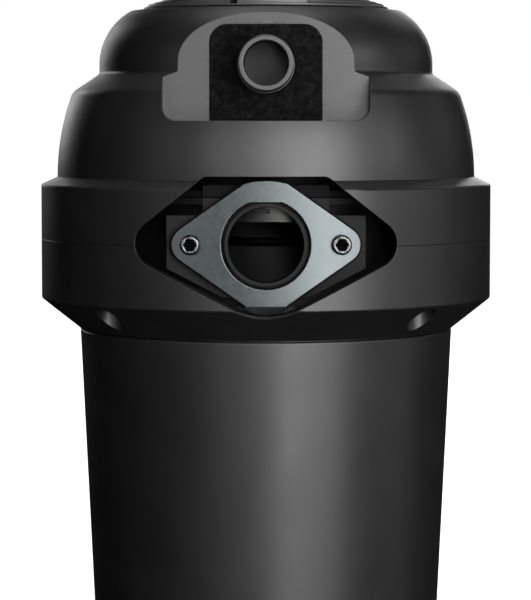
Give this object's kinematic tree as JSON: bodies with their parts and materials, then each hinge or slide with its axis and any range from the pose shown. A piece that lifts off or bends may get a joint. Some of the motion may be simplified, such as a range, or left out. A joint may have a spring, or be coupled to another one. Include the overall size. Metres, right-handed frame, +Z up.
{
  "type": "kitchen waste disposer",
  "caption": "Under-sink waste disposer: stepped dark shell, oval clamp plate round its drain outlet, dishwasher spigot, spinning turntable with swivel lugs driven by a motor.",
  "frame": {"origin": "centre of the base, at the bottom rim", "axes": "+Z up along the motor axis; -Y is the front, where the drain outlet and dishwasher inlet are"},
  "size_m": [0.222, 0.221, 0.3423],
  "materials": {
    "shell_plastic": "satin moulded",
    "inlet_plastic": "satin moulded",
    "chamber_plastic": "glass-filled, semi-matt",
    "cover_plate": "black powder coat",
    "mount_paint": "black e-coat",
    "rubber": "matt",
    "felt": "needled felt",
    "foam": "open-cell foam",
    "zinc_plate": "zinc plated",
    "bolt_steel": "bright plated",
    "black_steel": "black oxide",
    "stainless": "brushed",
    "cast_alloy": "as cast",
    "shaft_steel": "ground",
    "lamination": "stacked sheet",
    "copper": "enamelled wire",
    "bronze": "sintered",
    "switch_plastic": "moulded",
    "capacitor_case": "moulded",
    "red_button": "moulded",
    "green_screw": "green dyed zinc"
  },
  "bodies": {
    "housing": {"upper_shell": "shell_plastic", "lower_collar": "shell_plastic", "lower_shell": "shell_plastic", "bottom_cover": "cover_plate", "wiring_cover": "zinc_plate", "shell_screws": "black_steel", "cover_screws": "black_steel", "wiring_screw": "bolt_steel", "ground_screw": "green_screw", "mounting_gasket": "rubber", "grind_container": "chamber_plastic", "container_gasket": "rubber", "container_screws": "bolt_steel", "shredder_ring": "stainless", "shaft_seal": "rubber", "drain_chamber": "chamber_plastic", "outlet_gasket": "rubber", "discharge_flange": "zinc_plate", "flange_screws": "bolt_steel", "dishwasher_inlet": "inlet_plastic", "knockout_plug": "inlet_plastic", "inlet_pad": "felt", "sound_insulation": "foam", "stator_core": "lamination", "stator_winding": "copper", "upper_end_frame": "cast_alloy", "upper_bearing": "bronze", "lower_bearing": "bronze", "thrust_washer": "bolt_steel", "lower_end_frame": "cast_alloy", "through_bolts": "black_steel", "start_switch": "switch_plastic", "start_capacitor": "capacitor_case", "capacitor_strap": "zinc_plate", "overload_protector": "switch_plastic"},
    "mount_ring": {"lower_mount_ring": "mount_paint"},
    "baffle": {"splash_baffle": "rubber"},
    "rotor": {"turntable": "stainless", "impeller_rivets": "stainless", "turntable_nut": "stainless", "turntable_hub": "cast_alloy", "slinger": "rubber", "motor_shaft": "shaft_steel", "rotor_core": "lamination", "rotor_cage": "cast_alloy", "centrifugal_governor": "bronze"},
    "impeller_a": {"impeller_right": "stainless"},
    "impeller_b": {"impeller_left": "stainless"},
    "collar_slide": {"switch_collar": "switch_plastic"},
    "button": {"reset_button": "red_button"}
  },
  "joints": [
    {"name": "turntable_spin", "type": "hinge", "parent": "housing", "child": "rotor", "pos_m": [0, 0, 0.1], "axis": [0, 0, 1], "continuous": true},
    {"name": "impeller_right_swivel", "type": "hinge", "parent": "rotor", "child": "impeller_a", "pos_m": [0.05, 0, 0.22], "axis": [0, 0, 1], "continuous": true},
    {"name": "impeller_left_swivel", "type": "hinge", "parent": "rotor", "child": "impeller_b", "pos_m": [-0.05, 0, 0.22], "axis": [0, 0, 1], "continuous": true},
    {"name": "governor_collar_slide", "type": "slide", "parent": "rotor", "child": "collar_slide", "axis": [0, 0, 1], "range_m": [0, 0.0035], "stiffness_N_per_m": 60, "springref_m": -0.003},
    {"name": "mount_ring_turn", "type": "hinge", "parent": "housing", "child": "mount_ring", "pos_m": [0, 0, 0.32], "axis": [0, 0, 1], "continuous": true},
    {"name": "baffle_lift", "type": "slide", "parent": "housing", "child": "baffle", "axis": [0, 0, 1], "range_m": [0, 0.06]},
    {"name": "reset_button_pop", "type": "slide", "parent": "housing", "child": "button", "axis": [0, 0, -1], "range_m": [0, 0.003]}
  ]
}
